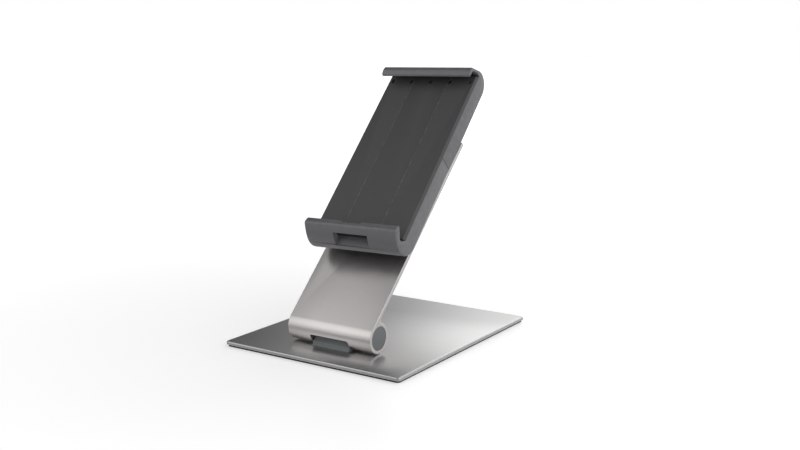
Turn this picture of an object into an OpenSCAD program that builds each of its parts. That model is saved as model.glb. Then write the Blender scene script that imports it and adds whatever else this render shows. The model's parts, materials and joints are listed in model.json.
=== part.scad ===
// Tablet stand: a weighted plate, an arm that tilts on a friction hinge, and a
// swivelling holder whose upper claw slides to suit the tablet.
// Origin: middle of the underside of the pad. +X right, +Y to the back, +Z up.

/* [Base] */
// Width of the base plate
base_w = 155; // [130:1:200]
// Depth of the base plate, front to back
base_d = 183.4; // [165:0.2:230]
// Thickness of the base plate
plate_t = 2.7; // [2:0.1:5]
// Corner radius of the base plate
corner_r = 2.5; // [1:0.5:12]
// Thickness of the non-slip pad under the plate
pad_t = 1.5; // [1:0.1:3]
// How far the pad stays inside the plate's edge
pad_inset = 1; // [0.5:0.5:4]

/* [Hinge] */
// Hinge axis behind the front edge of the plate
hinge_setback = 35.4; // [28:0.2:60]
// Outer radius of the hinge tube
tube_r = 11.2; // [9.5:0.1:16]
// Wall of the hinge tube
tube_wall = 2.45; // [1.8:0.05:3]
// Gap between the tube and the plate
tube_gap = 0.75; // [0.5:0.05:2]
// Width of the hinge block
block_w = 33; // [24:1:44]
// Half depth of the block's foot on the plate
foot_half = 9; // [8:0.5:12]
// Radius of the axle
axle_r = 4; // [3:0.25:4.5]
// Length of a friction bush
bush_len = 8; // [5:0.5:9]
// Number of disc springs at each end of the axle
spring_count = 3; // [1:1:4]
// Thickness of one disc spring
spring_t = 0.9; // [0.6:0.1:1]
// Thickness of a clamp nut
nut_t = 4.2; // [3:0.1:5]

/* [Arm] */
// Width of the arm
arm_w = 74.3; // [68:0.1:90]
// Length of the arm from the hinge axis to its end
arm_len = 173; // [164:1:220]
// Thickness of the arm's plate
arm_t = 3.2; // [2.5:0.1:5]
// Fillet between the tube and the back of the plate
fillet_r = 3; // [1:0.5:6]
// Angle of the arm to the base, as the stand is set
arm_tilt = 44.6; // [5:0.1:70]
// Lowest tilt
tilt_min = 0; // [0:1:4]
// Highest tilt
tilt_max = 74; // [71:1:75]
// Thickness of an end cap's disc
cap_t = 2; // [1.5:0.1:3]

/* [Swivel] */
// Swivel centre, measured up the arm from the hinge axis
hub_u = 134; // [128:1:138]
// Radius of the swivel discs
hub_r = 24; // [20:0.5:26]
// Thickness of the disc fixed to the arm
hub_t = 2; // [1.6:0.1:4]
// Thickness of the low-friction washer
washer_t = 0.5; // [0.3:0.1:1]
// Thickness of the disc fixed to the holder
turntable_t = 2; // [1.6:0.1:4]
// Radius of the pivot bolt's shoulder
pivot_r = 5; // [4:0.25:6]
// Angle by which the holder is turned on the arm, as the stand is set
holder_turn = 1.6; // [-10:0.1:10]
// Radius of the circle that the hub's screws stand on
hub_screw_circle = 17; // [14:0.5:18]

/* [Holder] */
// Width of the holder
holder_w = 81; // [74:0.5:100]
// Depth of the holder from its back to the seat of the front panel
body_depth = 14; // [13:0.5:18]
// Wall of the holder's mouldings
wall = 2.4; // [1.8:0.1:3]
// Height of the swivel centre above the holder's lower end
hub_height = 79.8; // [74:0.1:84]
// Length of the lower body's side walls
body_len = 86.8; // [84:0.2:100]
// Closed length of the holder
holder_len = 174.6; // [165:0.1:220]
// Joint between the lower body and the slider
seam = 0.3; // [0.2:0.1:1]
// Thickness of the front panel
panel_t = 1.8; // [1.4:0.1:3]
// Bevel along the panel's sides
panel_bevel = 1.6; // [0.5:0.1:1.7]
// Thickness of the guide plate inside the holder
guide_t = 2; // [1.5:0.1:2.5]

/* [Claws] */
// Radius of the heel under the lower claw
heel_r = 13; // [8:0.5:13]
// Depth of the lower lip in front of the panel's seat
lip_reach = 16.1; // [12:0.1:24]
// Rise of the lower lip's outer edge above the holder's lower end
lip_rise = 7.8; // [5:0.1:12]
// Radius of the trough that a tablet stands in
trough_r = 3.5; // [2.5:0.1:4]
// Width of the cable opening in the lower claw
cable_w = 30; // [16:1:50]
// Width of the notch in the lower lip
lip_notch_w = 16; // [8:1:24]
// Depth of the notch in the lower lip
lip_notch_d = 2.2; // [1:0.1:3]
// Angle at which the crown turns into the hook
hook_angle = 30; // [20:1:40]
// Straight stretch of the hook
hook_len = 12.2; // [9:0.1:16]
// Height of the upper lip
upper_lip = 7.6; // [6:0.1:12]
// Thickness of the upper lip
lip_t = 3; // [2:0.1:4]
// Number of core slots under the upper claw
slot_count = 5; // [1:2:7]
// Spacing of the core slots
slot_pitch = 17.9; // [10:0.1:18]

/* [Hidden] */
$fn = 96;

// Clearances
rim_gap = 0.35;     // between round faces of different bodies
run_fit = 0.05;     // radial, between a shaft and its bore
face_gap = 0.1;     // between flat faces that rub
slide_gap = 0.3;    // around the sliding parts
over = 1;           // how far a cut runs past a face

// Base and hinge, from the underside up
plate_z = pad_t;
plate_top = pad_t + plate_t;
axis_y = -base_d / 2 + hinge_setback;
axis_z = plate_top + tube_gap + tube_r;
bore_r = tube_r - tube_wall;
barrel_r = bore_r - rim_gap;
foot_front_a = 228;
foot_back_a = 312;
notch_play = 3;
notch_w = block_w + 2 * 0.5;
foot_r = tube_r + 0.4;
block_screw_x = block_w / 4;
block_screw_r = 2;
block_screw_head_r = 3.8;
block_screw_len = 8;

// Along the axle, from the middle out
bush_x = block_w / 2 + face_gap;
springs_x = bush_x + bush_len + face_gap;
nut_x = springs_x + spring_count * spring_t;
axle_half = nut_x + nut_t + 0.5;
spring_or = bore_r - 1;
nut_r = 6.4;

// Arm: u runs up its slope, n out of its face. Rounds that run into flats sink
// into them by merge, so that they meet on a clean edge.
merge = 0.05;
arm_face = tube_r - merge;
hub_hole_r = 1.6;
hub_head_r = 3.1;
nut_disc_r = 7;
nut_disc_t = 2;
thread_r = 3;

// Holder: p runs up from its lower end, q out from its back
holder_n = arm_face + hub_t + washer_t + turntable_t;
inner_w = holder_w - 2 * wall;
floor_p = heel_r - 1;
back_wall = 2.2;
front_seat = body_depth;
body_front = front_seat - 0.2;
tongue_p = hub_height + hub_r + 8;
tongue_w = 58;
slider_p = body_len + seam;
crown_r = body_depth - 2.7;     // of the upper claw's rounded top
crown_p = holder_len - crown_r;
head_p = crown_p - 2;
pivot_head_r = 9;
pivot_head_t = 2.5;
wave_t = 0.6;
turn_screw_circle = 18;

// Panel and guide
panel_p = heel_r - 2.8;
panel_top = holder_len - 5.7;
guide_q = front_seat - 0.4 - guide_t;
rail_t = 2.6;
guide_w = inner_w - 2 * (rail_t + 2 * slide_gap);
guide_top = crown_p - 12.4;
guide_p = floor_p + 1;
flange_w = 8;
flange_t = 2.6;
flange_q = guide_q - 0.4 - flange_t;
boss_x = 22;
boss_r = 3.6;
boss_p = [floor_p + 8, tongue_p - 16];
groove_x = 16;

// Claws
lip_q = front_seat + lip_reach;
toe_q = front_seat + 1.5;
bow_q = front_seat + 5.5;
lip_inner = [lip_rise + 5.8, lip_q - 1.8];
trough_c = [floor_p - 1.8, front_seat + 4.9];
cable_low = 0.2;
cable_high = 9.6;
hook_start = [crown_p, crown_r] + crown_r * [cos(hook_angle), sin(hook_angle)];
hook_end = hook_start + hook_len * [-sin(hook_angle), cos(hook_angle)];
upper_q = hook_end[1] + 0.2;
slot_w = 2.2;
slot_len = 4.4;
slot_p = panel_top - 6.7;

// Lock, on the left side of the lower body
lock_p = 60;
lock_r = 2.9;
lock_q = back_wall + lock_r + 0.3;
lock_len = 9;
cam_r = 2.1;
cam_throw = 0.5;
cam_t = 3;

// Points of an arc about c, from angle a0 to angle a1
function arc(c, r, a0, a1, steps = 12) =
    [for (i = [0:steps]) c + r * [cos(a0 + (a1 - a0) * i / steps), sin(a0 + (a1 - a0) * i / steps)]];

// Points of the curve from a to c that leaves and arrives along its lines to b
function bow(a, b, c, steps = 10) =
    [for (t = [0:1 / steps:1]) a * pow(1 - t, 2) + b * 2 * t * (1 - t) + c * pow(t, 2)];

// Outline of the lower body and its claw, seen from the right
function cradle_outline() = concat(
    [[body_len, 0]],
    arc([heel_r, heel_r], heel_r, 270, 180, 16),
    bow([0, heel_r + 0.5], [0, bow_q], [lip_rise, lip_q]),
    [lip_inner],
    arc(trough_c, trough_r, 140, 255, 10),
    [[heel_r - 3, body_front], [body_len, body_front]]
);

// Outline of the slider and its hook, seen from the right
function slider_outline() = concat(
    [[slider_p, 0]],
    arc([crown_p, crown_r], crown_r, -90, hook_angle, 20),
    [hook_end,
     [hook_end[0] - 0.6, upper_q],
     [hook_end[0] - upper_lip / 2, upper_q + 0.5],
     [hook_end[0] - upper_lip, upper_q - 0.8],
     [hook_end[0] - upper_lip, upper_q - lip_t],
     [hook_end[0] - 1.4, upper_q - lip_t],
     [panel_top + 0.7, hook_start[1] + 1.6],
     [panel_top + 0.7, front_seat],
     [slider_p, front_seat]]
);

module on_hinge() translate([0, axis_y, axis_z]) children();
module on_arm() on_hinge() rotate([arm_tilt, 0, 0]) children();
module on_holder() on_arm() translate([0, hub_u, holder_n]) rotate([0, 0, holder_turn])
    translate([0, -hub_height, 0]) children();
module on_pivot() on_holder() translate([0, hub_height, 0]) children();

// Carries a profile drawn in (y, z) along X, centred
module along_x(width) rotate([90, 0, 90]) linear_extrude(height = width, center = true) children();

// Round bar along +X from x
module bar_x(x, len, r) translate([x, 0, 0]) rotate([0, 90, 0]) cylinder(h = len, r = r);

module ring_x(x, len, r, hole) difference() {
    bar_x(x, len, r);
    bar_x(x - over, len + 2 * over, hole);
}

module rounded_sheet(w, d, r, t) linear_extrude(height = t) union() {
    square([w - 2 * r, d], center = true);
    square([w, d - 2 * r], center = true);
    for (sx = [-1, 1], sy = [-1, 1]) translate([sx * (w / 2 - r), sy * (d / 2 - r)]) circle(r = r);
}

module disc(r, t, hole) difference() {
    cylinder(h = t, r = r);
    translate([0, 0, -over]) cylinder(h = t + 2 * over, r = hole);
}

// Places on a circle of four, between the axes
module four(circle_r) for (a = [45:90:315]) rotate([0, 0, a]) translate([circle_r, 0, 0]) children();

module block_screw_places() for (s = [-1, 1]) translate([s * block_screw_x, axis_y, 0]) children();

// ---- base ----

module base_plate() color("silver") difference() {
    translate([0, 0, plate_z]) rounded_sheet(base_w, base_d, corner_r, plate_t);
    block_screw_places() translate([0, 0, plate_z - over]) cylinder(h = plate_t + 2 * over, r = block_screw_r + 0.2);
    block_screw_places() translate([0, 0, plate_z - over]) cylinder(h = over + 1.5, r = block_screw_head_r + 0.2);
}

module base_pad() color("dimgray")
    rounded_sheet(base_w - 2 * pad_inset, base_d - 2 * pad_inset, corner_r, pad_t);

module hinge_block() color("slategray") difference() {
    on_hinge() difference() {
        along_x(block_w) union() {
            circle(r = barrel_r);
            polygon([[0, 0],
                foot_r * [cos(foot_front_a), sin(foot_front_a)],
                [-foot_half, plate_top - axis_z],
                [foot_half, plate_top - axis_z],
                foot_r * [cos(foot_back_a), sin(foot_back_a)]]);
        }
        bar_x(-block_w / 2 - over, block_w + 2 * over, axle_r);
    }
    block_screw_places() translate([0, 0, plate_z]) cylinder(h = block_screw_len, r = block_screw_r);
}

module block_screws() color("gray") block_screw_places() {
    translate([0, 0, plate_z]) cylinder(h = 1.5, r = block_screw_head_r);
    translate([0, 0, plate_z + 0.5]) cylinder(h = block_screw_len - 1, r = block_screw_r - 0.02);
}

module hinge_axle() color("lightgray") on_hinge() bar_x(-axle_half, 2 * axle_half, axle_r - 0.01);

module disc_springs(side) color("gray") on_hinge() for (i = [0:spring_count - 1])
    mirror([side < 0 ? 1 : 0, 0, 0]) ring_x(springs_x + i * spring_t, spring_t - 0.05, spring_or, axle_r + 0.1);
module disc_springs_left() disc_springs(-1);
module disc_springs_right() disc_springs(1);

module clamp_nut(side) color("gray") on_hinge() mirror([side < 0 ? 1 : 0, 0, 0]) difference() {
    translate([nut_x, 0, 0]) rotate([0, 90, 0]) cylinder(h = nut_t, r = nut_r, $fn = 6);
    bar_x(nut_x - over, nut_t + 2 * over, axle_r);
}
module clamp_nut_left() clamp_nut(-1);
module clamp_nut_right() clamp_nut(1);

// ---- arm ----

// Section of the arm: tube, plate and the fillet behind them
module arm_section() {
    fillet_n = arm_face - arm_t - fillet_r + merge;
    fillet_u = sqrt(pow(tube_r + fillet_r - merge, 2) - pow(fillet_n, 2));
    circle(r = tube_r);
    translate([0, arm_face - arm_t]) square([arm_len, arm_t]);
    polygon(concat(
        [[0, 0]],
        arc([fillet_u, fillet_n], fillet_r, 180 + atan2(fillet_n, fillet_u), 90, 8),
        [[fillet_u, arm_face - arm_t / 2], [0, arm_face - arm_t / 2]]
    ));
}

module arm() color("gainsboro") on_arm() difference() {
    along_x(arm_w) arm_section();
    bar_x(-arm_w / 2 - over, arm_w + 2 * over, bore_r);
    along_x(notch_w) polygon(concat([[0, 0]],
        arc([0, 0], 2 * tube_r, foot_front_a - tilt_max - notch_play, foot_back_a - tilt_min + notch_play)));
    translate([0, hub_u, arm_face - arm_t - over]) {
        cylinder(h = arm_t + 2 * over, r = thread_r + 0.2);
        four(hub_screw_circle) cylinder(h = arm_t + 2 * over, r = hub_hole_r + 0.2);
        four(hub_screw_circle) cylinder(h = over + 1.4, r = hub_head_r + 0.1);
    }
}

module end_cap(side) color("dimgray") on_arm() mirror([side < 0 ? 1 : 0, 0, 0]) {
    bar_x(arm_w / 2 - cap_t, cap_t, bore_r);
    ring_x(arm_w / 2 - cap_t - 1.2, 1.2 + 0.5, bore_r, bore_r - 1.2);
}
module end_cap_left() end_cap(-1);
module end_cap_right() end_cap(1);

module friction_bush(side) color("tan") on_arm() mirror([side < 0 ? 1 : 0, 0, 0])
    ring_x(bush_x, bush_len, bore_r, axle_r + run_fit);
module friction_bush_left() friction_bush(-1);
module friction_bush_right() friction_bush(1);

// ---- swivel ----

module hub_disc() color("dimgray") on_arm() translate([0, hub_u, arm_face]) difference() {
    disc(hub_r, hub_t, thread_r + 0.2);
    four(hub_screw_circle) translate([0, 0, -over]) cylinder(h = over + hub_t - 0.4, r = hub_hole_r);
}

module hub_screws() color("gray") on_arm() translate([0, hub_u, arm_face - arm_t]) four(hub_screw_circle) {
    cylinder(h = 1.4, r = hub_head_r);
    translate([0, 0, 1]) cylinder(h = arm_t + hub_t - 1.8, r = hub_hole_r - 0.02);
}

module hub_washer() color("ivory") on_arm() translate([0, hub_u, arm_face + hub_t])
    disc(hub_r - 0.5, washer_t, pivot_r + 0.2);

module turntable() color("dimgray") on_pivot() translate([0, 0, -turntable_t]) difference() {
    disc(hub_r, turntable_t, pivot_r + run_fit);
    four(turn_screw_circle) translate([0, 0, 0.4]) cylinder(h = turntable_t + over, r = hub_hole_r);
}

module turntable_screws() color("gray") on_pivot() four(turn_screw_circle) {
    translate([0, 0, back_wall]) cylinder(h = 1.4, r = hub_head_r);
    translate([0, 0, 0.6 - turntable_t]) cylinder(h = back_wall + turntable_t, r = hub_hole_r - 0.02);
}

module wave_washer() color("silver") on_pivot() translate([0, 0, back_wall])
    disc(pivot_head_r - 0.5, wave_t, pivot_r + 0.2);

module pivot_bolt() color("silver") on_pivot() {
    translate([0, 0, back_wall + wave_t + face_gap]) cylinder(h = pivot_head_t, r = pivot_head_r);
    translate([0, 0, -turntable_t - washer_t]) cylinder(h = turntable_t + washer_t + back_wall + 1.5, r = pivot_r);
    translate([0, 0, arm_face - arm_t - nut_disc_t - holder_n])
        cylinder(h = arm_t + nut_disc_t + hub_t + 0.5, r = thread_r);
}

module pivot_nut() color("gray") on_arm() translate([0, hub_u, arm_face - arm_t - nut_disc_t])
    disc(nut_disc_r, nut_disc_t, thread_r + 0.02);

// ---- holder ----

// Upper end of the lower body, which the slider's back passes on both sides
module tongue() translate([-tongue_w / 2, body_len - over, 0])
    cube([tongue_w, tongue_p - body_len + over, back_wall]);

// Opening through the front of the lower claw
module cable_opening() along_x(cable_w) polygon([
    [-over, toe_q + cable_low - 1],
    [-over, toe_q + cable_high],
    [trough_c[0] + 2, toe_q + cable_high - 1.2],
    [trough_c[0] + 2, toe_q + cable_low + 0.6]
]);

module lower_body() color("slategray") on_holder() difference() {
    union() {
        difference() {
            along_x(holder_w) polygon(cradle_outline());
            translate([-inner_w / 2, floor_p, back_wall])
                cube([inner_w, body_len - floor_p + over, body_depth]);
        }
        tongue();
        for (p = boss_p, s = [-1, 1]) translate([s * boss_x, p, back_wall - 0.5])
            cylinder(h = guide_q - back_wall + 0.5, r = boss_r);
    }
    cable_opening();
    translate([-lip_notch_w / 2, lip_inner[0] - lip_notch_d, front_seat + 3]) cube([lip_notch_w, 10, lip_reach]);
    translate([0, hub_height, -over]) cylinder(h = back_wall + 2 * over, r = pivot_r + 0.3);
    translate([0, hub_height, -over]) four(turn_screw_circle)
        cylinder(h = back_wall + 2 * over, r = hub_hole_r + 0.1);
    for (p = boss_p, s = [-1, 1]) translate([s * boss_x, p, back_wall + 1])
        cylinder(h = guide_q, r = hub_hole_r);
    translate([0, lock_p, lock_q]) bar_x(-holder_w / 2 - over, wall + 2 * over, lock_r + run_fit);
}

module lower_pad() color("#2b2b2b") on_holder() along_x(cable_w + 40) polygon(concat(
    arc(trough_c, trough_r - 0.03, 200, 255, 8),
    arc(trough_c, trough_r - 0.9, 255, 200, 8)
));

module guide_plate() color("silver") on_holder() difference() {
    translate([-guide_w / 2, guide_p, guide_q]) cube([guide_w, guide_top - guide_p, guide_t]);
    for (p = boss_p, s = [-1, 1]) translate([s * boss_x, p, guide_q - over]) {
        cylinder(h = guide_t + 2 * over, r = hub_hole_r + 0.1);
        translate([0, 0, over + guide_t - 1]) cylinder(h = 2 * over, r = hub_head_r + 0.1);
    }
}

module guide_screws() color("gray") on_holder() for (p = boss_p, s = [-1, 1]) translate([s * boss_x, p, 0]) {
    translate([0, 0, guide_q + guide_t - 1]) cylinder(h = 0.9, r = hub_head_r);
    translate([0, 0, guide_q - 5]) cylinder(h = 5 + guide_t - 0.5, r = hub_hole_r - 0.02);
}

module slider() color("dimgray") on_holder() difference() {
    along_x(holder_w) polygon(slider_outline());
    translate([-inner_w / 2, slider_p - over, back_wall])
        cube([inner_w, head_p - slider_p + over, body_depth]);
    translate([-tongue_w / 2 - 0.4, slider_p - over, -over])
        cube([tongue_w + 0.8, tongue_p + 0.5 - slider_p + over, back_wall + 2 * over]);
    panel_screw_places() translate([0, 0, -over]) cylinder(h = body_depth + 2 * over, r = hub_hole_r + 0.1);
    panel_screw_places() translate([0, 0, -over]) cylinder(h = over + 1.5, r = hub_head_r + 0.1);
}

// Two screws through the slider's head hold the panel
module panel_screw_places() for (s = [-1, 1]) translate([s * 26, head_p + 4, 0]) children();

module front_panel() color("#3c3c3e") on_holder() difference() {
    translate([0, panel_top, 0]) rotate([90, 0, 0]) linear_extrude(height = panel_top - panel_p) polygon([
        [-holder_w / 2, front_seat],
        [holder_w / 2, front_seat],
        [holder_w / 2, front_seat + panel_t - panel_bevel],
        [holder_w / 2 - panel_bevel, front_seat + panel_t],
        [-holder_w / 2 + panel_bevel, front_seat + panel_t],
        [-holder_w / 2, front_seat + panel_t - panel_bevel]
    ]);
    for (s = [-1, 1]) translate([s * groove_x - 0.3, panel_p - over, front_seat + panel_t - 0.3])
        cube([0.6, slot_p - panel_p - 6, over]);
    for (i = [0:slot_count - 1])
        translate([(i - (slot_count - 1) / 2) * slot_pitch - slot_w / 2, slot_p - slot_len / 2, front_seat - over])
            cube([slot_w, slot_len, panel_t + 2 * over]);
    panel_screw_places() translate([0, 0, front_seat - over]) cylinder(h = over + 1.2, r = hub_hole_r);
}

module panel_screws() color("gray") on_holder() panel_screw_places() {
    cylinder(h = 1.5, r = hub_head_r);
    translate([0, 0, 1]) cylinder(h = front_seat + 0.1, r = hub_hole_r - 0.02);
}

// Channel that clasps one edge of the guide plate and hangs from the panel
module rail(side) color("ivory") on_holder() mirror([side < 0 ? 1 : 0, 0, 0])
    translate([inner_w / 2 - slide_gap, 0, 0]) {
        translate([-rail_t, guide_p, flange_q]) cube([rail_t, head_p - guide_p - 0.5, front_seat - flange_q]);
        translate([-flange_w, guide_p, flange_q]) cube([flange_w, head_p - guide_p - 0.5, flange_t]);
    }
module rail_left() rail(-1);
module rail_right() rail(1);

module upper_pad() color("#2b2b2b") on_holder() translate([-holder_w / 2 + 4, panel_top - 0.1, front_seat + panel_t + 0.1])
    cube([holder_w - 8, 0.8, hook_start[1] + 1.4 - front_seat - panel_t]);

// ---- lock ----

module lock_screw() color("silver") on_holder() translate([0, lock_p, lock_q]) difference() {
    bar_x(-holder_w / 2, lock_len, lock_r);
    translate([-holder_w / 2 - over, 0, 0]) rotate([0, 90, 0]) cylinder(h = over + 2.5, r = 1.7, $fn = 6);
}

module lock_cam() color("gray") on_holder() translate([0, lock_p, lock_q - cam_throw])
    bar_x(lock_len - holder_w / 2, cam_t, cam_r);

base_plate();
base_pad();
hinge_block();
block_screws();
hinge_axle();
disc_springs_left();
disc_springs_right();
clamp_nut_left();
clamp_nut_right();
arm();
end_cap_left();
end_cap_right();
friction_bush_left();
friction_bush_right();
hub_disc();
hub_screws();
hub_washer();
pivot_bolt();
pivot_nut();
wave_washer();
turntable();
turntable_screws();
lower_body();
lower_pad();
guide_plate();
guide_screws();
slider();
front_panel();
rail_left();
rail_right();
upper_pad();
panel_screws();
lock_screw();
lock_cam();
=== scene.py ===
"""Looks of the tablet stand: weighted plate, tilting arm on a friction hinge, and a swivelling holder
whose upper claw slides. Shape numbers are in millimetres along three directions from a start point;
build() turns them into metres in the shared frame."""

import json
import math
from functools import partial

import bpy
import numpy as np
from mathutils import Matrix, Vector


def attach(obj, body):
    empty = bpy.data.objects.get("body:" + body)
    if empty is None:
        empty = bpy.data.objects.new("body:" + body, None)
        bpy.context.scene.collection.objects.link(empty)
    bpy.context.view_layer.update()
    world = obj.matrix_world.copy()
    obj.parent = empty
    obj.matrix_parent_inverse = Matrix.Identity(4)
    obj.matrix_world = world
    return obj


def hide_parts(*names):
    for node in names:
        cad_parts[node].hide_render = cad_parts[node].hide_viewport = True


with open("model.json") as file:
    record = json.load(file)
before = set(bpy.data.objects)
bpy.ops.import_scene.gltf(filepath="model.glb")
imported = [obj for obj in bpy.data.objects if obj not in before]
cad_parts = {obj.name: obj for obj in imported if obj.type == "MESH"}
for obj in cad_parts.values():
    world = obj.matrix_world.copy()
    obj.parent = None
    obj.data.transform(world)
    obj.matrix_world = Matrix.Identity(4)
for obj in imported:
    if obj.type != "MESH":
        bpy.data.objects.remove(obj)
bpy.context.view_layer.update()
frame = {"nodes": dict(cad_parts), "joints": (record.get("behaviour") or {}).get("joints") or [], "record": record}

MM = 0.001
scene = bpy.context.scene
joints = {j["name"]: j for j in frame["joints"]}
slot_of = {s["node"]: s["material_slot"] for s in frame["record"]["subparts"]}

# Rows are three unit directions. SLOPE's are across the arm, up its slope and out of its face; HELD's are
# the same for the holder, which is set slightly turned. OUT_FIRST begins with the outward direction.
AXIS = np.array(joints["arm_tilt"]["pos_m"])
HUB = np.array(joints["holder_swivel"]["pos_m"])
ACROSS = np.array([1.0, 0.0, 0.0])
OUT = np.array(joints["holder_swivel"]["axis"])
UP = np.cross(OUT, ACROSS)
TILT = math.atan2(UP[2], UP[1])
SLOPE = np.stack([ACROSS, UP, OUT])
HELD_UP = np.array(joints["slider_reach"]["axis"])
HELD = np.stack([np.cross(HELD_UP, OUT), HELD_UP, OUT])
SLOPE_OUT_FIRST = SLOPE[[2, 0, 1]]
HELD_OUT_FIRST = HELD[[2, 0, 1]]
LEVEL = np.eye(3)
ORIGIN = np.zeros(3)


# ---- shapes ----

def span(node_name, rows=SLOPE, start=AXIS):
    """Least and greatest distance of a CAD node's points from start, in mm, along each row's direction."""
    mesh = frame["nodes"][node_name].data
    points = np.empty(len(mesh.vertices) * 3, np.float32)
    mesh.vertices.foreach_get("co", points)
    local = (points.reshape(-1, 3) - start) @ rows.T / MM
    return local.min(0), local.max(0)


def arc(centre, r, a0, a1, count=14):
    """Points at radius r about centre, the angle going evenly from a0 to a1 degrees."""
    a = np.radians(np.linspace(a0, a1, count))
    return np.stack([centre[0] + r * np.cos(a), centre[1] + r * np.sin(a)], 1)


def bow(a, b, c, count=12):
    """Points of the quadratic curve from a to c with b as its control point."""
    t = np.linspace(0, 1, count)[:, None]
    return np.array(a) * (1 - t) ** 2 + 2 * np.array(b) * t * (1 - t) + np.array(c) * t ** 2


def outline(*parts):
    """The parts' points in one closed loop, turned anticlockwise by the sign of the shoelace area."""
    loop = np.concatenate([np.atleast_2d(p) for p in parts]).astype(float)
    nxt = np.roll(loop, -1, 0)
    area = (loop[:, 0] * nxt[:, 1] - nxt[:, 0] * loop[:, 1]).sum()
    return loop if area > 0 else loop[::-1]


def softened(loop, r, count=4, share=0.42):
    """Each corner becomes a quadratic curve: it starts and ends at distance r from the corner, or at that
    share of the shorter side next to it, and the corner is its middle control point."""
    before, after = np.roll(loop, 1, 0) - loop, np.roll(loop, -1, 0) - loop
    before_length = np.linalg.norm(before, axis=1)
    after_length = np.linalg.norm(after, axis=1)
    cut = np.minimum(r, share * np.minimum(after_length, before_length))
    first = loop + before * (cut / before_length)[:, None]
    last = loop + after * (cut / after_length)[:, None]
    t = np.linspace(0, 1, count)[None, :, None]
    curve = first[:, None] * (1 - t) ** 2 + 2 * loop[:, None] * t * (1 - t) + last[:, None] * t ** 2
    return curve.reshape(-1, 2)


def directions(loop):
    """The unit direction of each side of a loop."""
    side = np.roll(loop, -1, 0) - loop
    return side / np.linalg.norm(side, axis=1)[:, None]


def inwards(loop):
    """How far each point moves when every side of an anticlockwise loop moves inwards by one: the sum of
    the two sides' inward normals, divided by one plus their cosine."""
    side = directions(loop)
    normal = np.stack([-side[:, 1], side[:, 0]], 1)
    back = np.roll(normal, 1, 0)
    return (normal + back) / (1 + (normal * back).sum(1))[:, None]


def turning(loop, full=8.0):
    """0 where the loop runs straight, 1 where it turns by the full angle in degrees, or more, at a point."""
    side = directions(loop)
    cosine = (side * np.roll(side, 1, 0)).sum(1)
    return np.clip(np.degrees(np.arccos(np.clip(cosine, -1, 1))) / full, 0, 1)


def build(name, rings, rows, start, wrap=False, edge=None):
    """A closed mesh from rings of points, an array (rings, points, 3) of distances along the rows. Each ring
    joins the next with four-sided faces. The ends are flat faces, or with wrap the last ring joins the
    first."""
    m, n = rings.shape[:2]
    points = start + (rings.reshape(-1, 3) @ rows) * MM
    i = np.arange(m if wrap else m - 1)[:, None]
    j = np.arange(n)[None]
    k = (j + 1) % n
    i2 = (i + 1) % m
    quads = np.stack([i * n + j, i * n + k, i2 * n + k, i2 * n + j], 2).reshape(-1, 4).tolist()
    ends = [] if wrap else [list(range(n))[::-1], list(range((m - 1) * n, m * n))]
    mesh = bpy.data.meshes.new(name)
    mesh.from_pydata(points.tolist(), [], quads + ends)
    if edge is not None:
        values = edge.astype(np.float32).ravel()
        mesh.attributes.new("edge", "FLOAT", "POINT").data.foreach_set("value", values)
    piece = bpy.data.objects.new(name, mesh)
    scene.collection.objects.link(piece)
    return piece


def carried(name, loop, stations, insets, rows=SLOPE, start=AXIS):
    """A profile carried along the first row: ring i is the loop moved inwards by insets[i], at stations[i].
    Rows two and three hold the loop. The edge value is high on rounds at the ends and at the loop's corners."""
    size = (len(stations), len(loop))
    stations = np.broadcast_to(np.asarray(stations, float).reshape(size[0], -1), size)
    insets = np.broadcast_to(np.asarray(insets, float).reshape(size[0], -1), size)
    flat = loop[None] + insets[..., None] * inwards(loop)[None]
    edge = np.maximum((insets > 0) * 1.0, turning(loop)[None] * 0.8)
    return build(name, np.concatenate([stations[..., None], flat], 2), rows, start, edge=edge)


def bar(name, loop, half, r, rows=SLOPE, start=AXIS, middle=0.0, count=5):
    """A profile carried along the first row from -half to half. Its ends are rounded by a quarter circle of
    radius r, one value or one for each point: the inset is r(1 - cos a) where the station is r(1 - sin a)
    short."""
    a = np.linspace(0, math.pi / 2, count)[:, None]
    r = np.broadcast_to(np.asarray(r, float), (len(loop),))[None]
    station = half - r + r * np.sin(a)
    inset = r * (1 - np.cos(a))
    return carried(name, loop, middle + np.concatenate([-station[::-1], station]),
                   np.concatenate([inset[::-1], inset]), rows, start)


def turned(name, profile, centre, rows, start=AXIS, sides=96, wrap=False):
    """A profile of (distance, radius) carried round an axis along the first row through centre."""
    profile = np.asarray(profile, float)
    a = np.arange(sides) * 2 * math.pi / sides
    ring = np.stack([np.zeros(sides), np.cos(a), np.sin(a)], 1)
    rings = ring[None] * profile[:, 1, None, None] + profile[:, 0, None, None] * np.array([1.0, 0, 0])
    edge = np.zeros((len(profile), sides))
    return build(name, rings + np.asarray(centre, float), rows, start, wrap, edge)


def block(name, low, high, rows=SLOPE, start=AXIS):
    """A box between two corners, as a four-point loop carried along the first row."""
    loop = outline([low[1], low[2]], [high[1], low[2]], [high[1], high[2]], [low[1], high[2]])
    return carried(name, loop, [low[0], high[0]], [0, 0], rows, start)


def combine(piece, tools, operation="DIFFERENCE"):
    """Cuts the tools from the piece, or adds them to it, and keeps the result as the piece's mesh."""
    for tool in tools:
        step = piece.modifiers.new("step", "BOOLEAN")
        step.operation = operation
        step.object = tool
        step.solver = "EXACT"
    graph = bpy.context.evaluated_depsgraph_get()
    graph.update()
    result = bpy.data.meshes.new_from_object(piece.evaluated_get(graph))
    piece.modifiers.clear()
    piece.data = result
    for tool in tools:
        bpy.data.objects.remove(tool)
    return piece


HEAD_R, HEAD_H = 3.1, 1.4
SHANK_R, SOCKET_R = 1.56, 1.7
SCREW_SIDES = 48


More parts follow.
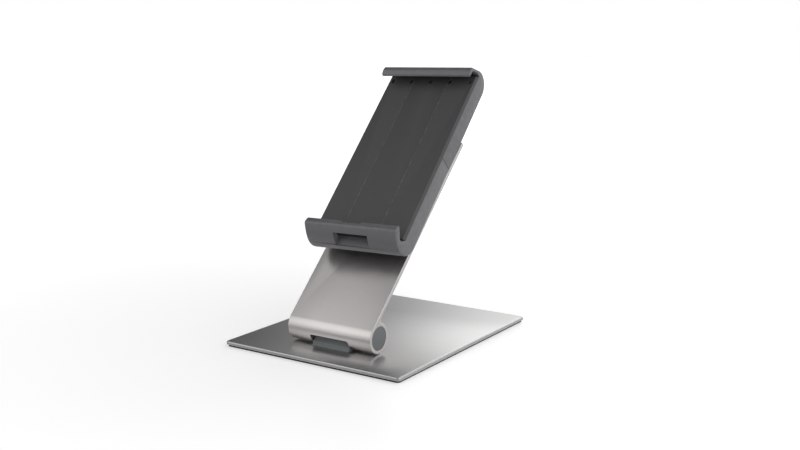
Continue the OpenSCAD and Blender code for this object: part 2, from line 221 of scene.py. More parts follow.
def screws(name, low, high, places, rows, start):
    """Cap screws along the first row: a head with a rounded rim and a hexagon socket, then the shank. Each
    profile is (distance, radius) carried round the place's axis."""
    neck = low + HEAD_H
    profile = [(low, HEAD_R - 0.35), (low + 0.1, HEAD_R - 0.12), (low + 0.35, HEAD_R), (neck, HEAD_R),
               (neck, SHANK_R), (high, SHANK_R)]
    parts = [turned(name, profile, place, rows, start, SCREW_SIDES) for place in places]
    hexagon = [(low - 1, SOCKET_R), (low + 1, SOCKET_R)]
    sockets = [turned("socket", hexagon, place, rows, start, 6) for place in places]
    combine(parts[0], parts[1:], "UNION")
    return combine(parts[0], sockets)


def finish_piece(piece, body, nodes, bevel=0.0, angle=32):
    """Smooth faces with hard edges above the angle, a fine bevel on those edges, the CAD body that the piece
    rides on and the CAD nodes that it stands for."""
    mesh = piece.data
    mesh.polygons.foreach_set("use_smooth", np.ones(len(mesh.polygons), bool))
    mesh.set_sharp_from_angle(angle=math.radians(angle))
    if bevel:
        rounding = piece.modifiers.new("fine_bevel", "BEVEL")
        rounding.width = bevel * MM
        rounding.segments = 2
        rounding.limit_method = "ANGLE"
        rounding.angle_limit = math.radians(angle)
        rounding.use_clamp_overlap = False
        rounding.harden_normals = True
    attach(piece, body)
    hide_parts(*nodes)
    mesh.materials.clear()
    mesh.materials.append(finishes[slot_of[nodes[0]]])
    return piece


# ---- shader groups ----

def group(name, inputs, outputs):
    """An empty shader group with named sockets, and its input and output nodes."""
    tree = bpy.data.node_groups.new(name, "ShaderNodeTree")
    for label, kind, value in inputs:
        socket = tree.interface.new_socket(name=label, in_out="INPUT", socket_type="NodeSocket" + kind)
        if value is not None:
            socket.default_value = value
    for label, kind in outputs:
        tree.interface.new_socket(name=label, in_out="OUTPUT", socket_type="NodeSocket" + kind)
    return tree, tree.nodes.new("NodeGroupInput").outputs, tree.nodes.new("NodeGroupOutput").inputs


def fill(tree, sockets, values):
    """Sets the sockets to values, or joins them to other sockets."""
    for key, value in dict(values).items():
        if isinstance(value, bpy.types.NodeSocket):
            tree.links.new(value, sockets[key])
        else:
            sockets[key].default_value = value


def node(tree, kind, values=(), **settings):
    """A node with its settings, and with its sockets filled."""
    made = tree.nodes.new("ShaderNode" + kind)
    for key, value in settings.items():
        setattr(made, key, value)
    fill(tree, made.inputs, values)
    return made


def use_group(tree, which, values):
    """A group placed in a material with its own values."""
    placed = tree.nodes.new("ShaderNodeGroup")
    placed.node_tree = which
    fill(tree, placed.inputs, values)
    return placed.outputs


def tone_drift_group():
    """The colour times 1 + amount * (2 * noise - 1), with soft clouds of the given size."""
    tree, into, out = group("tone_drift", [("Vector", "Vector", None), ("Colour", "Color", None),
                                           ("Clouds", "Float", 30.0), ("Amount", "Float", 0.05)],
                            [("Colour", "Color")])
    cloud = node(tree, "TexNoise", {"Vector": into["Vector"], "Scale": into["Clouds"], "Detail": 3.0})
    low = node(tree, "Math", {0: 1.0, 1: into["Amount"]}, operation="SUBTRACT")
    high = node(tree, "Math", {0: 1.0, 1: into["Amount"]}, operation="ADD")
    level = node(tree, "MapRange", {"Value": cloud.outputs["Fac"], "From Min": 0.3, "From Max": 0.7,
                                    "To Min": low.outputs[0], "To Max": high.outputs[0]})
    tinted = node(tree, "VectorMath", {0: into["Colour"], "Scale": level.outputs["Result"]}, operation="SCALE")
    tree.links.new(tinted.outputs["Vector"], out["Colour"])
    return tree


def fine_grain_group():
    """Height is a fine noise plus half as much of one three times finer; mask is a broad noise of its own."""
    tree, into, out = group("fine_grain", [("Vector", "Vector", None), ("Grains", "Float", 3000.0)],
                            [("Height", "Float"), ("Mask", "Float")])
    coarse = node(tree, "TexNoise", {"Vector": into["Vector"], "Scale": into["Grains"], "Detail": 1.0})
    threefold = node(tree, "Math", {0: into["Grains"], 1: 3.0}, operation="MULTIPLY")
    fine = node(tree, "TexNoise", {"Vector": into["Vector"], "Scale": threefold.outputs[0], "Detail": 1.0})
    height = node(tree, "Math", {0: fine.outputs["Fac"], 1: 0.5, 2: coarse.outputs["Fac"]},
                  operation="MULTIPLY_ADD")
    patches = node(tree, "TexNoise", {"Vector": into["Vector"], "Scale": 55.0, "Detail": 4.0})
    tree.links.new(height.outputs[0], out["Height"])
    tree.links.new(patches.outputs["Fac"], out["Mask"])
    return tree


def brush_lines_group():
    """Noise stretched along the first axis: height has the fine lines, shade has the broader streaks."""
    tree, into, out = group("brush_lines", [("Vector", "Vector", None), ("Along", "Float", 12.0),
                                            ("Across", "Float", 2500.0)],
                            [("Height", "Float"), ("Shade", "Float")])
    fine = node(tree, "CombineXYZ", {"X": into["Along"], "Y": into["Across"], "Z": into["Across"]})
    fewer = node(tree, "Math", {0: into["Across"], 1: 0.12}, operation="MULTIPLY")
    broad = node(tree, "CombineXYZ", {"X": into["Along"], "Y": fewer.outputs[0], "Z": fewer.outputs[0]})
    lines = node(tree, "VectorMath", {0: into["Vector"], 1: fine.outputs[0]}, operation="MULTIPLY")
    streaks = node(tree, "VectorMath", {0: into["Vector"], 1: broad.outputs[0]}, operation="MULTIPLY")
    height = node(tree, "TexNoise", {"Vector": lines.outputs[0], "Scale": 1.0, "Detail": 2.0})
    shade = node(tree, "TexNoise", {"Vector": streaks.outputs[0], "Scale": 1.0, "Detail": 3.0})
    tree.links.new(height.outputs["Fac"], out["Height"])
    tree.links.new(shade.outputs["Fac"], out["Shade"])
    return tree


def edge_wear_and_light_group():
    """Where the mesh's edge value and a patchy noise are both high, the colour goes towards the paler edge colour.
    This is edge wear, and also painted light: it lightens the holder's flat sides and the panel's grooves.
    """
    tree, into, out = group("edge_wear_and_light", [("Vector", "Vector", None), ("Colour", "Color", None),
                                         ("Edge Colour", "Color", None), ("Amount", "Float", 0.3)],
                            [("Colour", "Color"), ("Mask", "Float")])
    edge = node(tree, "Attribute", attribute_name="edge")
    patch = node(tree, "TexNoise", {"Vector": into["Vector"], "Scale": 260.0, "Detail": 3.0})
    edge_toning = node(tree, "MapRange", {"Value": patch.outputs["Fac"], "From Min": 0.35, "From Max": 0.75})
    both = node(tree, "Math", {0: edge.outputs["Fac"], 1: edge_toning.outputs["Result"]}, operation="MULTIPLY")
    mask = node(tree, "Math", {0: both.outputs[0], 1: into["Amount"]}, operation="MULTIPLY")
    mixed = node(tree, "Mix", {"Factor": mask.outputs[0], "A": into["Colour"], "B": into["Edge Colour"]},
                 data_type="RGBA")
    tree.links.new(mixed.outputs["Result"], out["Colour"])
    tree.links.new(mask.outputs[0], out["Mask"])
    return tree


tone_drift = tone_drift_group()
fine_grain = fine_grain_group()
brush_lines = brush_lines_group()
edge_wear_and_light = edge_wear_and_light_group()


# ---- finishes ----

def start_material(name, turn=(0, 0, 0)):
    """A material with its Principled shader and Object coordinates turned by a Mapping node."""
    made = bpy.data.materials.new(name)
    made.use_nodes = True
    tree = made.node_tree
    shader = tree.nodes["Principled BSDF"]
    coords = node(tree, "TexCoord")
    mapped = node(tree, "Mapping", {"Vector": coords.outputs["Object"], "Rotation": turn})
    return made, tree, shader, mapped.outputs["Vector"]


def rgba(colour):
    return (*colour, 1.0)


def drifting(tree, where, colour, clouds, amount):
    """The colour with its slow drift of tone."""
    return use_group(tree, tone_drift, {"Vector": where, "Colour": rgba(colour), "Clouds": clouds,
                                        "Amount": amount})["Colour"]


def coat(tree, shader, colour, noise, rough, spread, height, strength, depth):
    """Joins the colour, a roughness that the noise spreads about its middle, and a bump to the shader."""
    gloss = node(tree, "MapRange", {"Value": noise, "From Min": 0.3, "From Max": 0.7,
                                    "To Min": rough - spread, "To Max": rough + spread})
    bump = node(tree, "Bump", {"Height": height, "Strength": strength, "Distance": depth})
    tree.links.new(colour, shader.inputs["Base Color"])
    tree.links.new(gloss.outputs["Result"], shader.inputs["Roughness"])
    tree.links.new(bump.outputs["Normal"], shader.inputs["Normal"])


def grained(tree, shader, where, tone, edge_colour, edge_amount, rough, spread, grains, strength, depth):
    """A tone with paler edges over a fine grain: edge wear, and painted light on the holder's sides and the
    panel's grooves.
    """
    edge_toning = use_group(tree, edge_wear_and_light, {"Vector": where, "Colour": tone, "Edge Colour": rgba(edge_colour), "Amount": edge_amount})
    grain = use_group(tree, fine_grain, {"Vector": where, "Grains": grains})
    coat(tree, shader, edge_toning["Colour"], grain["Mask"], rough, spread, grain["Height"], strength, depth)


def moulded(name, colour, edge_colour, rough, grains, depth, drift=0.05, edge_amount=0.25, specular=0.5):
    """Moulded plastic or rubber: a drifting tone, a fine spark texture and slightly paler edges, which are edge
    wear and, on the holder's sides and the panel's grooves, painted light.
    """
    made, tree, shader, where = start_material(name)
    tone = drifting(tree, where, colour, 26.0, drift)
    grained(tree, shader, where, tone, edge_colour, edge_amount, rough, 0.04, grains, 0.35, depth)
    shader.inputs["Specular IOR Level"].default_value = specular
    return made


def blasted(name, colour, edge_colour, rough, grains, depth, turn=(0, 0, 0)):
    """Bead-blasted and anodised metal: fine dimples, a slow drift of tone and brighter edges."""
    made, tree, shader, where = start_material(name, turn)
    tone = drifting(tree, where, colour, 18.0, 0.02)
    grained(tree, shader, where, tone, edge_colour, 0.6, rough, 0.02, grains, 0.3, depth)
    shader.inputs["Metallic"].default_value = 1.0
    return made


def brushed(name, colour, rough, along, across, depth, turn=(0, 0, 0), streak=0.06, drift=0.03):
    """Brushed or turned metal: stretched lines in the height, and their streaks in the gloss."""
    made, tree, shader, where = start_material(name, turn)
    tone = drifting(tree, where, colour, 14.0, drift)
    lines = use_group(tree, brush_lines, {"Vector": where, "Along": along, "Across": across})
    coat(tree, shader, tone, lines["Shade"], rough, streak, lines["Height"], 0.25, depth)
    shader.inputs["Metallic"].default_value = 1.0
    return made


ON_SLOPE = (-TILT, 0, 0)
MICRON = 0.000001
recipes = {
    "brushed_base": partial(brushed, colour=(0.63, 0.625, 0.62), rough=0.32, along=9.0, across=2600.0,
                            depth=3 * MICRON, streak=0.012, drift=0.01),
    "satin_aluminium": partial(blasted, colour=(0.56, 0.54, 0.53), edge_colour=(0.62, 0.61, 0.60), rough=0.32,
                               grains=3200.0, depth=8 * MICRON, turn=ON_SLOPE),
    "grey_plastic": partial(moulded, colour=(0.13, 0.14, 0.145), edge_colour=(0.2, 0.21, 0.215), rough=0.5,
                            grains=2600.0, depth=30 * MICRON),
    # The graphite's edge amount lightens the flat sides and rounded ends of the holder and slider: painted light,
    # on top of edge wear.
    "graphite_plastic": partial(moulded, colour=(0.107, 0.107, 0.115), edge_colour=(0.2, 0.2, 0.21), rough=0.4,
                                grains=3000.0, depth=10 * MICRON, drift=0.02, edge_amount=0.3, specular=0.6),
    # The panel's high edge amount lightens its grooves: painted highlight.
    "panel_plastic": partial(moulded, colour=(0.057, 0.057, 0.058), edge_colour=(0.2, 0.2, 0.2), rough=0.48,
                             grains=3600.0, depth=10 * MICRON, drift=0.015, edge_amount=0.9),
    "black_plastic": partial(moulded, colour=(0.02, 0.02, 0.022), edge_colour=(0.06, 0.06, 0.06), rough=0.45,
                             grains=2600.0, depth=30 * MICRON),
    "black_rubber": partial(moulded, colour=(0.016, 0.016, 0.016), edge_colour=(0.04, 0.04, 0.04), rough=0.75,
                            grains=1800.0, depth=50 * MICRON, specular=0.3),
    "zinc_steel": partial(brushed, colour=(0.52, 0.52, 0.53), rough=0.34, along=200.0, across=1500.0,
                          depth=2 * MICRON, streak=0.03),
    "spring_steel": partial(brushed, colour=(0.32, 0.31, 0.30), rough=0.4, along=200.0, across=3000.0,
                            depth=10 * MICRON),
    "bush_brass": partial(brushed, colour=(0.62, 0.45, 0.20), rough=0.32, along=2000.0, across=300.0,
                          depth=10 * MICRON),
    "acetal": partial(moulded, colour=(0.74, 0.72, 0.66), edge_colour=(0.8, 0.78, 0.72), rough=0.45,
                      grains=1500.0, depth=10 * MICRON),
    "guide_aluminium": partial(brushed, colour=(0.55, 0.55, 0.56), rough=0.35, along=12.0, across=2500.0,
                               depth=10 * MICRON, turn=ON_SLOPE),
}
finishes = {slot_name: recipe(slot_name) for slot_name, recipe in recipes.items()}
# A darker copy of the brushed plate metal: painted shade for the plate's side and upper chamfer.
shaded_plate_edge = brushed("shaded_plate_edge", (0.46, 0.46, 0.455), 0.28, 60.0, 1500.0, 5 * MICRON)

for part_name, part in frame["nodes"].items():
    part.data.materials.clear()
    part.data.materials.append(finishes[slot_of[part_name]])


# ---- base ----

PLATE_CORNER, CORNER_POINTS = 2.5, 9


def plate(node_name, rings):
    """A rectangle with quarter-circle corners carried up: each ring is (inset, share of the height, height
    added)."""
    low, high = span(node_name, LEVEL, ORIGIN)
    x = (high[0] - low[0]) / 2 - PLATE_CORNER
    y = (high[1] - low[1]) / 2 - PLATE_CORNER
    corners = [((x, y), 0), ((-x, y), 90), ((-x, -y), 180), ((x, -y), 270)]
    loop = outline(*[arc(centre, PLATE_CORNER, a, a + 90, CORNER_POINTS) for centre, a in corners])
    insets = [ring[0] for ring in rings]
    heights = [low[2] + ring[1] * (high[2] - low[2]) + ring[2] for ring in rings]
    return carried(node_name + "_form", loop, heights, insets, LEVEL[[2, 0, 1]], ORIGIN)


base_plate = plate("base_plate", [(0.4, 0, 0), (0.12, 0, 0.12), (0, 0, 0.4), (0, 1, -0.62), (0.06, 1, -0.5),
                                  (0.5, 1, -0.06), (0.62, 1, 0)])
finish_piece(base_plate, "base", ["base_plate"])

# The side and the upper chamfer are the steps between rings 2 and 6, one face for each point of the loop. They
# take a darker copy of the plate's metal with its own brushing: painted shade on the side and chamfer.
base_plate.data.materials.append(shaded_plate_edge)
per_step = 4 * CORNER_POINTS
shaded_edge_faces = np.zeros(len(base_plate.data.polygons), np.int32)
shaded_edge_faces[2 * per_step:6 * per_step] = 1
base_plate.data.polygons.foreach_set("material_index", shaded_edge_faces)

base_pad = plate("base_pad", [(0.5, 0, 0), (0.1, 0, 0.15), (0, 0, 0.4), (0, 1, 0)])
finish_piece(base_pad, "base", ["base_pad"])

FOOT_FROM, FOOT_TO, FOOT_R = 228, 312, 11.6
block_low, block_high = span("hinge_block", LEVEL)
foot_top = arc((0, 0), FOOT_R, FOOT_FROM, FOOT_TO, 2)
block_loop = outline(arc((0, 0), block_high[2], FOOT_TO - 360, FOOT_FROM, 40), foot_top[0],
                     [block_low[1], block_low[2]], [block_high[1], block_low[2]], foot_top[1])
hinge_block = bar("hinge_block_form", softened(block_loop, 0.6), block_high[0], 0.5, LEVEL)
finish_piece(hinge_block, "base", ["hinge_block"])


# ---- arm ----

ARM_T, ARM_CORNER, FILLET = 3.2, 0.5, 3.0
NOTCH_HALF, NOTCH_FROM, NOTCH_TO, NOTCH_CORNER = 17, 151, 315, 1.5
HEAD_HOLE_R, SHANK_HOLE_R, BOLT_HOLE_R = HEAD_R + 0.1, 1.8, 3.2

TUBE = span("hub_disc")[0][2]
arm_high = span("arm")[1]
fillet_n = TUBE - ARM_T - FILLET
fillet_u = math.sqrt((TUBE + FILLET) ** 2 - fillet_n ** 2)
fillet_a = math.degrees(math.atan2(fillet_n, fillet_u))
arm_end = arm_high[1] - ARM_CORNER
arm_loop = outline(arc((arm_end, TUBE - ARM_CORNER), ARM_CORNER, 0, 90, 4),
                   arc((0, 0), TUBE, 90, 360 + fillet_a, 90),
                   arc((fillet_u, fillet_n), FILLET, 180 + fillet_a, 90, 12)[1:],
                   arc((arm_end, TUBE - ARM_T + ARM_CORNER), ARM_CORNER, 270, 360, 4))
arm = bar("arm_form", arm_loop, arm_high[0], 0.45)


def notch_cutter(half, r, a0, a1, corner, zone=12, depth=4.2, past=2):
    """A box carried round the hinge axis from angle a0 to a1: at each angle a rectangle across the tube's wall.
    Near both ends its half width follows a quarter circle of the corner's radius along the tube's surface, so
    the angles lie closer together in a zone at each end."""
    a = np.radians(np.concatenate([np.linspace(a0, a0 + zone, 12),
                                   np.linspace(a0 + zone + 2, a1 - zone - 2, 30),
                                   np.linspace(a1 - zone, a1, 12)]))
    near_end = np.minimum(a - a[0], a[-1] - a) * r
    short = np.clip(corner - near_end, 0, corner)
    width = half - corner + np.sqrt(corner ** 2 - short ** 2)
    x = np.stack([width, width, -width, -width], 1)
    radius = np.array([r - depth, r + past, r + past, r - depth])[None]
    rings = np.stack([x, radius * np.cos(a)[:, None], radius * np.sin(a)[:, None]], 2)
    return build("notch_cutter", rings, SLOPE, AXIS)


BORE = span("end_cap_right")[1][1]
hub_screw_low, hub_screw_high = span("hub_screws")
BACK = hub_screw_low[2]
hub_u = (hub_screw_low[1] + hub_screw_high[1]) / 2
quarter = hub_screw_high[0] - HEAD_R
hub_places = [(0, x, hub_u + u) for x in (-quarter, quarter) for u in (-quarter, quarter)]
hub_steps = [(BACK - 1, HEAD_HOLE_R), (BACK + HEAD_H, HEAD_HOLE_R), (BACK + HEAD_H, SHANK_HOLE_R),
             (TUBE + 1, SHANK_HOLE_R)]
bolt_steps = [(BACK - 1, BOLT_HOLE_R), (TUBE + 1, BOLT_HOLE_R)]

bore_cutter = turned("bore_cutter", [(-60, BORE), (60, BORE)], (0, 0, 0), SLOPE)
hub_holes = [turned("hub_hole", hub_steps, place, SLOPE_OUT_FIRST, AXIS, SCREW_SIDES) for place in hub_places]
bolt_hole = turned("bolt_hole", bolt_steps, (0, 0, hub_u), SLOPE_OUT_FIRST, AXIS, SCREW_SIDES)
notch = notch_cutter(NOTCH_HALF, TUBE, NOTCH_FROM, NOTCH_TO, NOTCH_CORNER)
combine(arm, [bore_cutter, notch, bolt_hole, *hub_holes])
finish_piece(arm, "arm", ["arm"])

hub_screws = screws("hub_screws_form", BACK, hub_screw_high[2], hub_places, SLOPE_OUT_FIRST, AXIS)
finish_piece(hub_screws, "arm", ["hub_screws"])

NUT_BORE_R, NUT_LEAD_R = 3.05, 3.35
SPANNER_R, SPANNER_X = 0.9, 5.1
nut_low, nut_high = span("pivot_nut")
lo, hi, rim = nut_low[2], nut_high[2], nut_high[0]
nut_profile = [(lo, NUT_LEAD_R), (lo, rim - 0.45), (lo + 0.13, rim - 0.13), (lo + 0.45, rim), (hi, rim),
               (hi, NUT_BORE_R), (lo + 0.3, NUT_BORE_R)]
pivot_nut = turned("pivot_nut_form", nut_profile, (0, 0, hub_u), SLOPE_OUT_FIRST, AXIS, wrap=True)
spanner_steps = [(lo - 1, SPANNER_R), (lo + 1.3, SPANNER_R)]
combine(pivot_nut, [turned("spanner_hole", spanner_steps, (0, x, hub_u), SLOPE_OUT_FIRST, AXIS, 32)
                    for x in (-SPANNER_X, SPANNER_X)])
finish_piece(pivot_nut, "arm", ["pivot_nut"])

for side, word in ((-1, "left"), (1, "right")):
    cap_low, cap_high = span("end_cap_" + word)
    face = cap_high[0] if side > 0 else -cap_low[0]
    cap_profile = [(face - 3, BORE - 0.05), (face - 0.5, BORE - 0.05), (face - 0.2, BORE - 0.15),
                   (face - 0.05, BORE - 0.45), (face, BORE - 0.9)]
    cap = turned("end_cap_form_" + word, cap_profile, (0, 0, 0), SLOPE * np.array([[side], [1], [side]]))
    finish_piece(cap, "arm", ["end_cap_" + word])


# ---- holder ----

WALL = 2.4
GAP = 0.3
TONGUE_HALF, TONGUE_END, TONGUE_T = 29, 111.8, 2.2

body_low = span("lower_body", HELD, HUB)[0]
HOLD = HUB + (HELD_UP * body_low[1] + OUT * body_low[2]) * MM
slider_low, slider_high = span("slider", HELD, HOLD)
panel_low, panel_high = span("front_panel", HELD, HOLD)
HALF, TOP = slider_high[0], slider_high[1]
SEAT = panel_low[2]
PANEL_LOW, PANEL_TOP = panel_low[1], panel_high[1]
BODY_END = slider_low[1] - GAP

HEEL_R = 13
TROUGH, TROUGH_R = (10.2, SEAT + 4.9), 3.5
heel_and_front = np.concatenate([arc((HEEL_R, HEEL_R), HEEL_R, 270, 180, 18),
                                 bow((0, 13.5), (0, SEAT + 5.5), (7, SEAT + 14.8)),
                                 bow((7, SEAT + 14.8), (8, SEAT + 16.3), (10, SEAT + 15.6), 7)[1:]])
trough = np.concatenate([bow((12.4, SEAT + 14.7), (13.6, SEAT + 14.3), (13.3, SEAT + 13), 5),
                         arc(TROUGH, TROUGH_R, 140, 255, 14), [[10, SEAT - 0.2], [BODY_END, SEAT - 0.2]]])
cradle_loop = outline([BODY_END, 0], heel_and_front, trough)

# The ends are rounded most on the claw's outside, and least on the body and in the trough.
on_claw = np.clip((16 - cradle_loop[:, 0]) / 6, 0, 1)
outside = np.clip((np.linalg.norm(cradle_loop - TROUGH, axis=1) - 4.5) / 3, 0, 1)
lower_body = bar("lower_body_form", cradle_loop, HALF, 0.35 + 0.75 * on_claw * outside, HELD, HOLD)

OPENING_HALF, LIP_NOTCH_HALF, LOCK_HOLE_R = 15, 8, 3.1
tongue = block("tongue", (-TONGUE_HALF, BODY_END - 1, 0), (TONGUE_HALF, TONGUE_END, TONGUE_T), HELD, HOLD)
cavity = block("cavity", (WALL - HALF, 12, TONGUE_T - 0.02), (HALF - WALL, BODY_END + 1, SEAT + 1), HELD, HOLD)
opening_loop = outline([-1, SEAT + 0.7], [-1, SEAT + 11.1], [12.2, SEAT + 9.9], [12.2, SEAT + 2.3])
opening = carried("opening", opening_loop, [-OPENING_HALF, OPENING_HALF], [0, 0], HELD, HOLD)
lip_notch = block("lip_notch", (-LIP_NOTCH_HALF, 11.4, SEAT + 3), (LIP_NOTCH_HALF, 20, SEAT + 20), HELD, HOLD)
lock_low, lock_high = span("lock_screw", HELD, HOLD)
lock_centre = (0, (lock_low[1] + lock_high[1]) / 2, (lock_low[2] + lock_high[2]) / 2)
lock_steps = [(-HALF - 1, LOCK_HOLE_R), (WALL + 1 - HALF, LOCK_HOLE_R)]
lock_hole = turned("lock_hole", lock_steps, lock_centre, HELD, HOLD, SCREW_SIDES)
combine(lower_body, [cavity, opening, lip_notch, lock_hole])
combine(lower_body, [tongue], "UNION")
finish_piece(lower_body, "holder", ["lower_body"], bevel=0.3)


# ---- slider ----

HOOK_LENGTH = 12.2
LIP_BACK = 3
CROWN = SEAT - 2.7
lean = math.cos(math.radians(30))
crown = (TOP - CROWN, CROWN)
hook_start = np.array(crown) + CROWN * np.array([lean, 0.5])
hook_end = hook_start + HOOK_LENGTH * np.array([-0.5, lean])
hook_p, lip_front = hook_end[0], hook_end[1] + 0.2
slider_loop = outline([BODY_END + GAP, 0], arc(crown, CROWN, -90, 30, 24), hook_end, [hook_p - 0.6, lip_front],
                      [hook_p - 3.8, lip_front + 0.5], [hook_p - 7.6, lip_front - 0.8],
                      [hook_p - 7.6, lip_front - LIP_BACK], [hook_p - 1.4, lip_front - LIP_BACK],
                      [PANEL_TOP + 0.7, hook_start[1] + 1.6], [PANEL_TOP + 0.7, SEAT], [BODY_END + GAP, SEAT])
slider_loop = softened(slider_loop, 0.45)
on_hook = np.clip((slider_loop[:, 0] - 155) / 6, 0, 1)
slider = bar("slider_form", slider_loop, HALF, 0.35 + 0.1 * on_hook, HELD, HOLD)

slider_room = block("slider_room", (WALL - HALF, BODY_END - 1, TONGUE_T), (HALF - WALL, crown[0] - 2, SEAT + 1),
                    HELD, HOLD)
tongue_room = block("tongue_room", (-TONGUE_HALF - 0.4, BODY_END - 1, -1),
                    (TONGUE_HALF + 0.4, TONGUE_END + 0.5, TONGUE_T + 1), HELD, HOLD)
panel_screw_low, panel_screw_high = span("panel_screws", HELD, HOLD)
screw_x = panel_screw_high[0] - HEAD_R
screw_p = (panel_screw_low[1] + panel_screw_high[1]) / 2
panel_places = [(0, s * screw_x, screw_p) for s in (-1, 1)]
screw_holes = [turned("screw_hole", [(-1, 3.3), (1.6, 3.3)], place, HELD_OUT_FIRST, HOLD, SCREW_SIDES)
               for place in panel_places]
combine(slider, [slider_room, tongue_room, *screw_holes])
finish_piece(slider, "slider", ["slider"], bevel=0.3)
panel_screws = screws("panel_screws_form", panel_screw_low[2], panel_screw_high[2], panel_places,
                      HELD_OUT_FIRST, HOLD)
finish_piece(panel_screws, "slider", ["panel_screws"])


# ---- front panel ----

PANEL_T, BEVEL = 1.8, 1.6
GROOVE_X, GROOVE_DEPTH, GROOVE_TOP, GROOVE_FLOOR = 16, 0.05, 0.28, 0.12
SLOT_R, SLOT_PITCH, SLOT_DROP, SLOT_COUNT = 1.1, 17.9, 6.5, 5
FACE = SEAT + PANEL_T


def panel_loop():
    """The panel's cross-section, as (out, across): a flat back, bevelled sides and two fine grooves."""
    groove = np.array([[FACE, GROOVE_TOP], [FACE - GROOVE_DEPTH, GROOVE_FLOOR],
                       [FACE - GROOVE_DEPTH, -GROOVE_FLOOR], [FACE, -GROOVE_TOP]])
    return outline([SEAT, -HALF], [SEAT, HALF], [FACE - BEVEL, HALF], [FACE, HALF - BEVEL],
                   groove + [0, GROOVE_X], groove - [0, GROOVE_X], [FACE, BEVEL - HALF], [FACE - BEVEL, -HALF])


def slot_cutter(x):
    """A stadium shape, twice as long as it is wide, carried outwards through the panel."""
    middle = PANEL_TOP - SLOT_DROP
    loop = outline(arc((x, middle + SLOT_R), SLOT_R, 0, 180, 15),
                   arc((x, middle - SLOT_R), SLOT_R, 180, 360, 15))
    return carried("slot_cutter", loop, [SEAT - 1, FACE + 1], [0, 0], HELD_OUT_FIRST, HOLD)


front_panel = bar("front_panel_form", panel_loop(), (PANEL_TOP - PANEL_LOW) / 2, 0.25, HELD[[1, 2, 0]], HOLD,
                  (PANEL_TOP + PANEL_LOW) / 2)
# The groove floors alone get the edge value, so the panel's edge colour paints them as fine light lines: a painted
# highlight for the lit side of each groove.
rise = np.array([(v.co - Vector(HOLD)).dot(Vector(OUT)) / MM for v in front_panel.data.vertices])
in_groove = (np.abs(rise - FACE + GROOVE_DEPTH) < 0.01).astype(np.float32)
front_panel.data.attributes["edge"].data.foreach_set("value", in_groove)
slot_middle = (SLOT_COUNT - 1) // 2
combine(front_panel, [slot_cutter((i - slot_middle) * SLOT_PITCH) for i in range(SLOT_COUNT)])
finish_piece(front_panel, "slider", ["front_panel"], bevel=0.04, angle=14)


# ---- stage ----

# azimuth from +Y towards -X, elevation, outer and inner half angle, strength
SOFT_BOXES = [
    (82, 8, 52, 28, -0.42),
    (1, 14, 35, 21, 1.0),
    (-85, 30, 60, 20, 0.92),
    (138, 32, 40, 14, 0.95),
    (75, 62, 28, 8, -0.20),
    (180, 74, 48, 16, -0.35),
]
DOME, DOME_LEAST = 0.50, 0.02
FLOOR_R, FLOOR_RINGS, FLOOR_SIDES, FLOOR_DROP = 6.0, 12, 48, 0.00005
FLOOR_GLOW, EYE_GLOW, FAR_GLOW = 0.30, 0.1, 0.4
MIRROR_SHADE, FRONT_SHADE = 0.2, 0.8
WHITE = (1, 1, 1, 1)


def studio_world():
    """White to the eye. For light and reflections, a grey dome with soft boxes added or taken away: each is its
    strength times a smooth step of the cosine between the direction and the box's own direction."""
    world = bpy.data.worlds.new("studio")
    scene.world = world
    world.use_nodes = True
    tree = world.node_tree
    tree.nodes.clear()
    direction = node(tree, "TexCoord").outputs["Generated"]
    level = DOME
    for azimuth, elevation, wide, narrow, strength in SOFT_BOXES:
        a, e = math.radians(azimuth), math.radians(elevation)
        towards = (-math.sin(a) * math.cos(e), math.cos(a) * math.cos(e), math.sin(e))
        cosine = node(tree, "VectorMath", {0: direction, 1: towards}, operation="DOT_PRODUCT")
        outer, inner = math.cos(math.radians(wide)), math.cos(math.radians(narrow))
        step = node(tree, "MapRange", {"Value": cosine.outputs["Value"], "From Min": outer, "From Max": inner,
                                       "To Min": 0.0, "To Max": strength}, interpolation_type="SMOOTHSTEP")
        level = node(tree, "Math", {0: step.outputs["Result"], 1: level}, operation="ADD").outputs[0]
    least = node(tree, "Math", {0: level, 1: DOME_LEAST}, operation="MAXIMUM")
    dome = node(tree, "Background", {"Color": WHITE, "Strength": least.outputs[0]})
    plain = node(tree, "Background", {"Color": WHITE, "Strength": 1.0})
    eye = node(tree, "LightPath").outputs["Is Camera Ray"]
    mixed = node(tree, "MixShader", {0: eye, 1: dome.outputs[0], 2: plain.outputs[0]})
    out = tree.nodes.new("ShaderNodeOutputWorld")
    tree.links.new(mixed.outputs[0], out.inputs["Surface"])


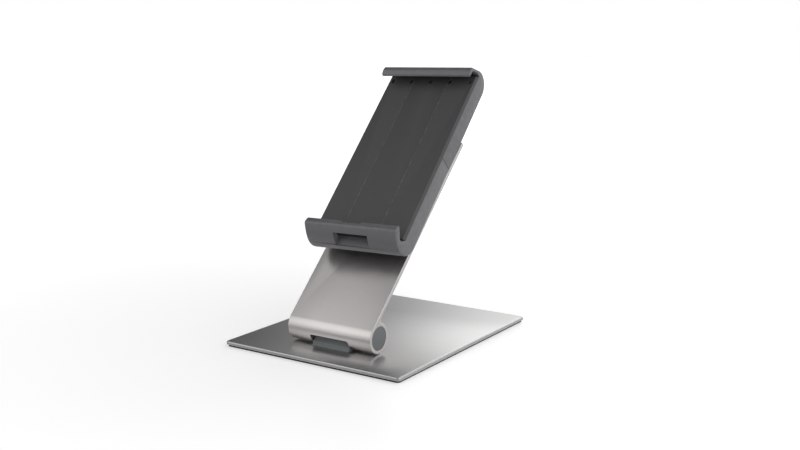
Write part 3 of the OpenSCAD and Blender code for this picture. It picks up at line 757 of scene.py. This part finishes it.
def floor_finish():
    """A pale diffuse with some glow. Reflections see it dimmer, most of all just in front of the plate: painted
    shade in reflections. The eye sees it glow more with distance."""
    material, tree, shader, where = start_material("pale_floor")
    tone = drifting(tree, where, (0.8, 0.8, 0.8), 3.0, 0.004)
    path = node(tree, "LightPath").outputs
    # Painted shade: glossy rays see the floor dimmer, and darker still in a band just in front of the plate, where
    # its contact shadow falls.
    depth = node(tree, "SeparateXYZ", {"Vector": where}).outputs["Y"]
    near = node(tree, "MapRange", {"Value": depth, "From Min": -0.112, "From Max": -0.086,
                                   "To Min": -FRONT_SHADE, "To Max": -MIRROR_SHADE})
    loss = node(tree, "MapRange", {"Value": depth, "From Min": -0.21, "From Max": -0.13,
                                   "To Min": -MIRROR_SHADE, "To Max": near.outputs["Result"]})
    kept = node(tree, "Math", {0: path["Is Glossy Ray"], 1: loss.outputs["Result"], 2: 1.0},
                operation="MULTIPLY_ADD").outputs[0]
    dimmed = node(tree, "VectorMath", {0: tone, "Scale": kept}, operation="SCALE")
    away = node(tree, "VectorMath", {0: where}, operation="LENGTH")
    eye_glow = node(tree, "MapRange", {"Value": away.outputs["Value"], "From Min": 0.12, "From Max": 0.8,
                                       "To Min": EYE_GLOW, "To Max": FAR_GLOW})
    glow = node(tree, "Math", {0: path["Is Camera Ray"], 1: eye_glow.outputs["Result"], 2: FLOOR_GLOW},
                operation="MULTIPLY_ADD")
    seen = node(tree, "Math", {0: glow.outputs[0], 1: kept}, operation="MULTIPLY")
    fill(tree, shader.inputs, {"Base Color": dimmed.outputs["Vector"], "Roughness": 0.35,
                               "Specular IOR Level": 0.4, "Emission Color": WHITE,
                               "Emission Strength": seen.outputs[0]})
    return material


def floor():
    """A disc under the stand: the points of each ring are evenly spaced, and the rings' radii grow as the
    square of their number."""
    k = np.arange(1, FLOOR_RINGS + 1)
    a = np.arange(FLOOR_SIDES) * 2 * math.pi / FLOOR_SIDES
    r = FLOOR_R * (k / FLOOR_RINGS) ** 2
    drop = np.zeros((FLOOR_RINGS, FLOOR_SIDES)) - FLOOR_DROP
    points = np.stack([r[:, None] * np.cos(a), r[:, None] * np.sin(a), drop], 2)
    i, j = np.meshgrid(np.arange(FLOOR_RINGS - 1), np.arange(FLOOR_SIDES), indexing="ij")
    n = (j + 1) % FLOOR_SIDES
    quads = np.stack([i * FLOOR_SIDES + j, (i + 1) * FLOOR_SIDES + j, (i + 1) * FLOOR_SIDES + n,
                      i * FLOOR_SIDES + n], 2).reshape(-1, 4).tolist()
    mesh = bpy.data.meshes.new("floor")
    mesh.from_pydata(points.reshape(-1, 3).tolist(), [], quads + [list(range(FLOOR_SIDES))])
    made = bpy.data.objects.new("floor", mesh)
    scene.collection.objects.link(made)
    mesh.materials.append(floor_finish())


studio_world()
floor()


# ---- camera ----

EYE = (0.4558, -0.6648, 0.2393)
LENS, SENSOR = 48.444, 36
LOOK_AZIMUTH, LOOK_DOWN = math.radians(33.371), math.radians(10.793)

camera = bpy.data.objects.new("camera", bpy.data.cameras.new("camera"))
scene.collection.objects.link(camera)
scene.camera = camera
camera.data.sensor_width = SENSOR
camera.data.lens = LENS
camera.data.clip_start = 0.01
camera.data.clip_end = 50
look = Vector((-math.sin(LOOK_AZIMUTH) * math.cos(LOOK_DOWN), math.cos(LOOK_AZIMUTH) * math.cos(LOOK_DOWN),
               -math.sin(LOOK_DOWN)))
camera.location = EYE
camera.rotation_mode = "QUATERNION"
camera.rotation_quaternion = look.to_track_quat("-Z", "Y")
scene.view_settings.view_transform = "Standard"
